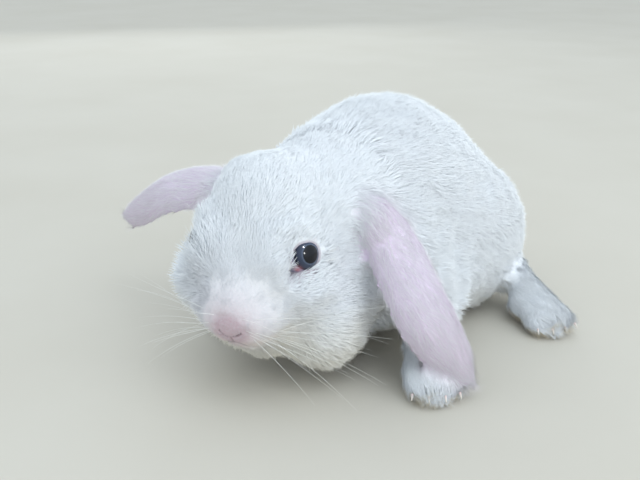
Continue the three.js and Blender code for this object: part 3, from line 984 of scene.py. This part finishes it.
smoothShaded(body)
storeMasks(body, masks)
finished(linked("rabbit_skin", body, skinMaterial()), "coat", *fleshNodes)
furOf = {"ears": furMaterial("fine_fur", 0.6)}
plush = furMaterial("plush_fur", 0.75)
for group, piece in coatPieces:
    piece.data.materials.append(furOf.get(group, plush))
    finished(piece, "ear" if group == "ears" else "coat")
print("skin and coat finished")


# Eye globes.
globe = {"rings": 36, "spokes": 48, "crowding": 1.35, "cornea": (18, 56),
         "corner": 0.2, "cornerPast": 16, "cornerWidth": 11}
irisPattern = {"scale": 9, "wander": 0.035, "streaks": 26, "streaky": 0.7, "spread": 300}
# the lighter ring next to the pupil is painted light: the iris lit through the cornea
eyeColours = tints(pupil=(5, 8, 20), glow=(84, 96, 118), inner=(60, 70, 92), outer=(46, 54, 74),
                   limbus=(22, 26, 44), white=(150, 148, 168), corner=(186, 122, 132), streak=(40, 48, 66))


def globeMesh(side):
    look, rear, above = eyeAxes(sides[side])
    angle = 180 * np.linspace(0, 1, globe["rings"] + 1) ** globe["crowding"]
    around = np.arange(globe["spokes"]) * 2 * math.pi / globe["spokes"]
    steps, turns = (a.ravel() for a in np.meshgrid(angle[1:-1], around, indexing="ij"))
    steps, turns = np.append(steps, (0, 180)), np.append(turns, (0, 0))
    ray = np.cos(np.radians(steps))[:, None] * look + np.sin(np.radians(steps))[:, None] \
        * (np.cos(turns)[:, None] * rear + np.sin(turns)[:, None] * above)
    toCorner = math.radians(eye["cornerAt"])
    at = math.radians(eye["opening"] + globe["cornerPast"])
    cornerRay = math.cos(at) * look + math.sin(at) * (math.cos(toCorner) * rear + math.sin(toCorner) * above)
    inner = fade(np.degrees(np.arccos(np.clip(ray @ cornerRay, -1, 1))), globe["cornerWidth"])
    far = globeRadius + eye["bulge"] * (1 - smoothstep(steps, *globe["cornea"])) + globe["corner"] * inner
    spokes = globe["spokes"]
    last = (globe["rings"] - 2) * spokes
    faces = [[len(ray) - 2, k, (k + 1) % spokes] for k in range(spokes)]
    faces += bands(0, globe["rings"] - 2, spokes)
    faces += [[last + k, len(ray) - 1, last + (k + 1) % spokes] for k in range(spokes)]
    mesh = bpy.data.meshes.new("eye_" + side)
    mesh.from_pydata((eyeCentre[side] + ray * far[:, None] * mm).tolist(), [], faces)
    facedOutward(mesh)
    storeMasks(mesh, {"fromPupil": steps / 90, "inner": inner})
    spoke = mesh.attributes.new("spoke", "FLOAT_VECTOR", "POINT")
    across = steps / irisPattern["spread"]
    spoke.data.foreach_set("vector", np.stack((np.cos(turns), np.sin(turns), across), 1).ravel())
    return mesh


def eyeMaterial():
    made, tree, shader = surface("wet_eye", Roughness=0.4, Specular_IOR_Level=0.1,
                                 Coat_Weight=0.8, Coat_Roughness=0.02, Coat_IOR=1.4)
    out = attribute(tree, "fromPupil")
    ray = place(tree, "ShaderNodeAttribute", attribute_name="spoke").outputs["Vector"]
    fibres = maths(tree, "SUBTRACT", noise(tree, irisPattern["scale"], 4, vector=ray), 0.5)
    wander = maths(tree, "ADD", out, times(tree, fibres, irisPattern["wander"]))
    pupil, iris = eye["pupil"], eye["iris"]
    # just outside the pupil, a ring of painted light
    stops = ((pupil - 1.5, "pupil"), (pupil + 1, "glow"), (pupil + 5, "inner"), (iris - 8, "outer"),
             (iris - 3, "limbus"), (iris + 1, "limbus"), (iris + 4, "white"))
    edge = [degrees / 90 for degrees, _ in stops]
    colour = ramp(tree, wander, *zip(edge, (eyeColours[name] for _, name in stops)))
    streaky = noise(tree, irisPattern["streaks"], vector=ray)
    streaky = times(tree, streaky, irisPattern["streaky"])
    streaks = mixed(tree, streaky, colour, eyeColours["streak"], "MULTIPLY")
    black, grey = (0, 0, 0, 1), (0.4, 0.4, 0.4, 1)
    onIris = ramp(tree, out, (edge[0], black), (edge[2], grey), (edge[5], black))
    colour = mixed(tree, onIris, colour, streaks)
    coloured(tree, shader, mixed(tree, attribute(tree, "inner"), colour, eyeColours["corner"]))
    return made


wetEye = eyeMaterial()
for side in eyeCentre:
    finished(linked("eyeball_" + side, globeMesh(side), wetEye), "eye", "eye_" + side)
print("eyes in their sockets")


# Claws.
claw = {"sides": 8, "rings": 6, "base": 0.45, "tip": 0.14, "taper": 0.7, "narrow": 0.8, "droop": 0.9,
        "shown": 0.5, "floorGap": 0.15}
clawColours = tints(root=(226, 196, 196), middle=(236, 224, 220), end=(238, 232, 224),
                    line=(190, 168, 150))
clawGrain = {"scale": 1500, "stretch": (1, 0.25, 1), "share": 0.35, "height": 0.06, "strength": 0.5}


def clawHorns(clawNodes):
    places, faces, grain = [], [], []
    for node in clawNodes:
        corners = np.array([v.co for v in frame["nodes"][node].data.vertices])
        foot = middleOf(node.split("_")[1] + "foot_" + node.split("_")[2])
        middle = corners.mean(0)
        long = np.linalg.svd(corners - middle)[2][0]
        long *= np.sign(long @ (middle - foot))
        reach = (corners - middle) @ long
        aside = unit(np.cross(long, up))
        over = np.cross(aside, long)
        for r in range(claw["rings"] + 1):
            t = r / claw["rings"]
            centre = middle + long * (reach.min() + t * claw["shown"] * (reach.max() - reach.min())) \
                - up * claw["droop"] * mm * t * t
            thick = (claw["base"] * (1 - t) ** claw["taper"] + claw["tip"]) * mm
            for k in range(claw["sides"]):
                a = 2 * math.pi * k / claw["sides"]
                p = centre + (aside * math.cos(a) * claw["narrow"] + over * math.sin(a)) * thick
                places.append((p[0], p[1], max(p[2], claw["floorGap"] * mm)))
                grain.append(t)
        start = len(places) - (claw["rings"] + 1) * claw["sides"]
        ring = range(claw["sides"])
        faces += [[start + k for k in ring], *bands(start, claw["rings"], claw["sides"]),
                  [len(places) - 1 - k for k in ring]]
    mesh = bpy.data.meshes.new("rabbit_claws")
    mesh.from_pydata([tuple(p) for p in places], [], faces)
    facedOutward(mesh)
    storeMasks(mesh, {"grain": np.array(grain)})
    return mesh


def hornMaterial():
    made, tree, shader = surface("horn", Roughness=0.36, Coat_Weight=0.2)
    along = attribute(tree, "grain")
    pink = ramp(tree, along, *zip((0.0, 0.5, 0.85), (clawColours[k] for k in ("root", "middle", "end"))))
    lines = noise(tree, clawGrain["scale"], stretch=clawGrain["stretch"])
    colour = mixed(tree, times(tree, lines, clawGrain["share"]), pink, clawColours["line"])
    coloured(tree, shader, colour, lines, clawGrain["height"], clawGrain["strength"])
    return made


clawNodes = sorted(n for n in frame["nodes"] if n.startswith("claw_"))
finished(linked("rabbit_claws", clawHorns(clawNodes), hornMaterial()), "claw", *clawNodes)
print("claws made")


# Whiskers, brow hairs and lashes.
whisker = {"radius": 0.072, "tip": 0.2, "sides": 5, "points": 12, "rootDepth": 1.2, "floorGap": 0.8,
           "margin": 1, "bend": 3}
whiskerRows = {
    "rows": 4, "columns": 4, "front": (20.4, 5.4, -19), "back": (13, 9.4, -21), "rowStep": (0.4, 1.0, -2.2),
    "way": (0.28, 0.95, 0.22), "backTurn": 0.75, "rowFall": 0.2, "spread": (0.12, 0.1),
    "length": (27, 40), "lengths": (0.85, 1.1), "sag": 0.16, "sags": (0.5, 1.4), "thick": (0.7, 1.1),
}
# root, way, length in millimetres
browHairs = (((7, 9.5, 7), (0.1, 0.9, 0.75), 24), ((5, 10.5, 8), (-0.35, 0.8, 0.8), 20),
             ((9, 8.5, 6), (0.5, 0.6, 0.8), 17))
browHair = {"sag": 0.1, "thick": 0.7}
lashes = {"count": 13, "span": (15, 118), "jitter": 3, "pastLid": 4, "way": (0.9, 0.7, 0.3),
          "length": (2.6, 4.2), "sag": -0.3, "thin": 0.5}
hairColours = (tint(252, 252, 250), tint(232, 232, 228))


def strandTree():
    tree = bpy.data.node_groups.new("strands", "GeometryNodeTree")
    sizes = {"Radius": "NodeSocketFloat", "Tip share": "NodeSocketFloat", "Sides": "NodeSocketInt",
             "Material": "NodeSocketMaterial"}
    tree.interface.new_socket("Geometry", in_out="INPUT", socket_type="NodeSocketGeometry")
    for name, kind in sizes.items():
        tree.interface.new_socket(name, in_out="INPUT", socket_type=kind)
    tree.interface.new_socket("Geometry", in_out="OUTPUT", socket_type="NodeSocketGeometry")
    given = tree.nodes.new("NodeGroupInput").outputs
    curve = place(tree, "GeometryNodeMeshToCurve", {"Mesh": given["Geometry"]}).outputs["Curve"]
    share = tree.nodes.new("GeometryNodeSplineParameter").outputs["Factor"]
    taper = place(tree, "ShaderNodeMapRange", {"Value": share, "To Min": 1.0, "To Max": given["Tip share"]})
    thick = place(tree, "GeometryNodeInputNamedAttribute", {"Name": "thick"}, data_type="FLOAT").outputs[0]
    size = times(tree, times(tree, taper.outputs[0], given["Radius"]), thick)
    ring = place(tree, "GeometryNodeCurvePrimitiveCircle", {"Resolution": given["Sides"], "Radius": 1.0})
    tube = place(tree, "GeometryNodeCurveToMesh", {"Curve": curve, "Profile Curve": ring.outputs["Curve"],
                                                   "Scale": size, "Fill Caps": True}).outputs["Mesh"]
    real = place(tree, "GeometryNodeRealizeInstances", {"Geometry": tube}).outputs["Geometry"]
    clothed = place(tree, "GeometryNodeSetMaterial", {"Geometry": real, "Material": given["Material"]})
    out = tree.nodes.new("NodeGroupOutput")
    tree.links.new(clothed.outputs["Geometry"], out.inputs["Geometry"])
    return tree


def strand(root, way, length, sag, thick=1.0):
    t = np.linspace(0, 1, whisker["points"])[:, None]
    way = unit(way)
    line = root - way * whisker["rootDepth"] * mm + way * length * mm * t - up * sag * length * mm * t * t
    line[:, 2] = np.maximum(line[:, 2], whisker["floorGap"] * mm)
    # bent back where it would reach too far ahead
    past = np.maximum(cadBox[0].y - whisker["margin"] * mm - line[:, 1], 0)
    bend = whisker["bend"] * mm
    line[:, 1] += past - bend * (1 - np.exp(-past / bend))
    return line, thick


def whiskerLines():
    tree = skinTree()
    rows = whiskerRows
    front, rear, step = (np.array(rows[k]) for k in ("front", "back", "rowStep"))
    x, y, z = rows["way"]
    lines = []
    for s in sides.values():
        for row in range(rows["rows"]):
            for column in range(rows["columns"]):
                back = column / (rows["columns"] - 1)
                spot = front * (1 - back) + rear * back + step * (row - 1)
                root = nearestSkin(tree, spot[0], s * spot[1], spot[2])
                way = headWay(x - rows["backTurn"] * back + rng.normal() * rows["spread"][0], s * y,
                              z - rows["rowFall"] * row + rng.normal() * rows["spread"][1])
                length = np.interp(back, (0, 1), rows["length"]) * rng.uniform(*rows["lengths"])
                sag = rows["sag"] * rng.uniform(*rows["sags"])
                lines.append(strand(root, way, length, sag, rng.uniform(*rows["thick"])))
        for root, way, length in browHairs:
            root = nearestSkin(tree, root[0], s * root[1], root[2])
            way = headWay(way[0], s * way[1], way[2])
            lines.append(strand(root, way, length, **browHair))
    return lines


def lashLines():
    lines = []
    outward, ahead, back = lashes["way"]
    for side, s in sides.items():
        look, rear, above = eyeAxes(s)
        turns = np.linspace(*lashes["span"], lashes["count"])
        for turn in np.radians(turns + rng.normal(size=lashes["count"]) * lashes["jitter"]):
            out = rear * math.cos(turn) + above * math.sin(turn)
            past = math.radians(float(lidEdge(turn)) + lashes["pastLid"])
            ray = look * math.cos(past) + out * math.sin(past)
            root = eyeCentre[side] + ray * (globeRadius + eye["lidHeight"]) * mm
            way = unit(outward * out + ahead * look + back * rear)
            lines.append(strand(root, way, rng.uniform(*lashes["length"]), lashes["sag"], lashes["thin"]))
    return lines


def hairMaterial():
    made, tree, shader = surface("whisker_hair", Roughness=0.35, Coat_Weight=0.1)
    coloured(tree, shader, mixed(tree, noise(tree, 60, 2), *hairColours))
    return made


def strandPiece(name, lines, tree, hair):
    source = bpy.data.meshes.new(name + "_lines")
    points = whisker["points"]
    places = np.concatenate([line for line, _ in lines])
    edges = [(k, k + 1) for k in range(len(places) - 1) if (k + 1) % points]
    source.from_pydata(places.tolist(), edges, [])
    storeMasks(source, {"thick": np.repeat([thick for _, thick in lines], points)})
    made = linked(name, source)
    modifier = made.modifiers.new("strands", "NODES")
    modifier.node_group = tree
    given = {"Radius": whisker["radius"] * mm, "Tip share": whisker["tip"], "Sides": whisker["sides"],
             "Material": hair}
    for item in tree.interface.items_tree:
        if item.name in given:
            modifier[item.identifier] = given[item.name]
    ready = made.evaluated_get(bpy.context.evaluated_depsgraph_get())
    mesh = bpy.data.meshes.new_from_object(ready)
    made.modifiers.clear()
    made.data = mesh
    mesh.name = name
    return finished(made, "coat")


strands = strandTree()
hair = hairMaterial()
strandPiece("whiskers", whiskerLines(), strands, hair)
strandPiece("lashes", lashLines(), strands, hair)
print("whiskers and lashes set")


# Floor and light.
floorValues = {"size": 6, "pale": tint(206, 202, 192), "deeper": tint(196, 191, 179), "patches": 9,
               "grain": 160, "height": 0.2, "strength": 0.3}
light = {
    "key": {"way": (0.27, 0.72, 0.62), "far": 0.95, "size": 0.7, "power": 1.75, "colour": (0.88, 0.95, 1.0)},
    "fill": {"way": (0.7, 0.1, 0.7), "far": 1.1, "size": 0.9, "power": 2.6, "colour": (0.97, 0.98, 1.0)},
    "back": {"way": (-0.2, 0.7, -0.7), "far": 1.1, "size": 0.8, "power": 1.5, "colour": (0.92, 0.97, 1.0)},
    "glint": {"way": (0.27, 0.72, 0.62), "far": 0.9, "size": 0.11, "power": 5.5, "glossy": True},
    "spark": {"way": (0.44, 0.1, 0.89), "far": 0.9, "size": 0.08, "power": 3.0, "glossy": True},
}
sky = {"colour": (0.86, 0.94, 1.0, 1), "strength": 1.04}


def addFloor(size, pale, deeper, patches, grain, height, strength):
    edge = size / 2
    mesh = bpy.data.meshes.new("floor")
    corners = [(-edge, -edge, 0), (edge, -edge, 0), (edge, edge, 0), (-edge, edge, 0)]
    mesh.from_pydata(corners, [], [(0, 1, 2, 3)])
    made, tree, shader = surface("pale_floor", Roughness=0.8)
    colour = mixed(tree, noise(tree, patches, 4), pale, deeper)
    coloured(tree, shader, colour, noise(tree, grain), height, strength)
    linked("floor", mesh, made)


def addLight(name, way, far, size, power, colour=(1, 1, 1), glossy=False):
    data = bpy.data.lights.new(name, "AREA")
    data.energy, data.size, data.color = power, size, colour
    made = linked(name, data)
    way = unit(viewRight * way[0] + viewAbove * way[1] + viewBack * way[2])
    made.location = Vector(eyeCentre["left"] + way * far)
    made.rotation_euler = Vector(way).to_track_quat("Z", "Y").to_euler()
    made.visible_diffuse = not glossy  # two small lights only glint in the eyes
    made.visible_glossy = glossy


addFloor(**floorValues)
for name, values in light.items():
    addLight(name, **values)
world = bpy.data.worlds.new("soft_sky")
world.use_nodes = True
background = world.node_tree.nodes["Background"].inputs
background["Color"].default_value = sky["colour"]
background["Strength"].default_value = sky["strength"]
scene.world = world
scene.view_settings.view_transform = "Standard"
print("floor and lights set")
